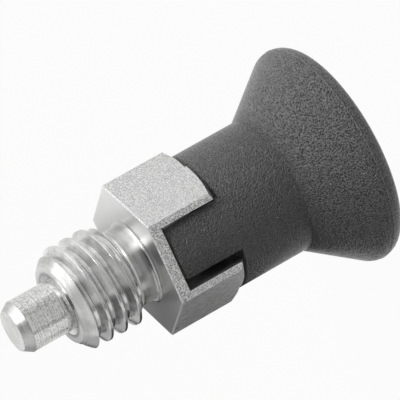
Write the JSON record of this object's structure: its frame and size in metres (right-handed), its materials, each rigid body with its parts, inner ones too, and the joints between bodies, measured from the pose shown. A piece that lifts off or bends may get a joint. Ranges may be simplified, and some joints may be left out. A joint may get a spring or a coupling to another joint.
{
  "type": "indexing plunger",
  "caption": "Spring-loaded indexing plunger: slotted hexagon sleeve with metric thread and undercut, cylindrical locking pin, and a mushroom pull grip with two tongues.",
  "frame": {"origin": "middle of the grip's flat end face", "axes": "+Z along the pin towards its tip; the slot across the hexagon runs along Y"},
  "size_m": [0.0212, 0.0212, 0.0349],
  "materials": {
    "sleeve_steel": "stainless, fine blasted on the hexagon, turned on the thread and nose",
    "pin_steel": "stainless, finely ground and dull",
    "grip_plastic": "anthracite grey, matt, fine moulded grain",
    "spring_steel": "drawn stainless wire",
    "bush_steel": "turned"
  },
  "bodies": {
    "sleeve": {"threaded_sleeve": "sleeve_steel", "retaining_bush": "bush_steel", "return_spring": "spring_steel"},
    "pin": {"locking_pin": "pin_steel"},
    "grip": {"grip": "grip_plastic"}
  },
  "joints": [
    {"name": "pull", "type": "slide", "parent": "sleeve", "child": "pin", "axis": [0, 0, -1], "range_m": [0, 0.006], "stiffness_N_per_m": 1240, "springref_m": -0.0052, "deforming": ["return_spring"]},
    {"name": "turn", "type": "hinge", "parent": "pin", "child": "grip", "pos_m": [0, 0, 0.0145], "axis": [0, 0, 1], "range_deg": [-8, 2]}
  ]
}
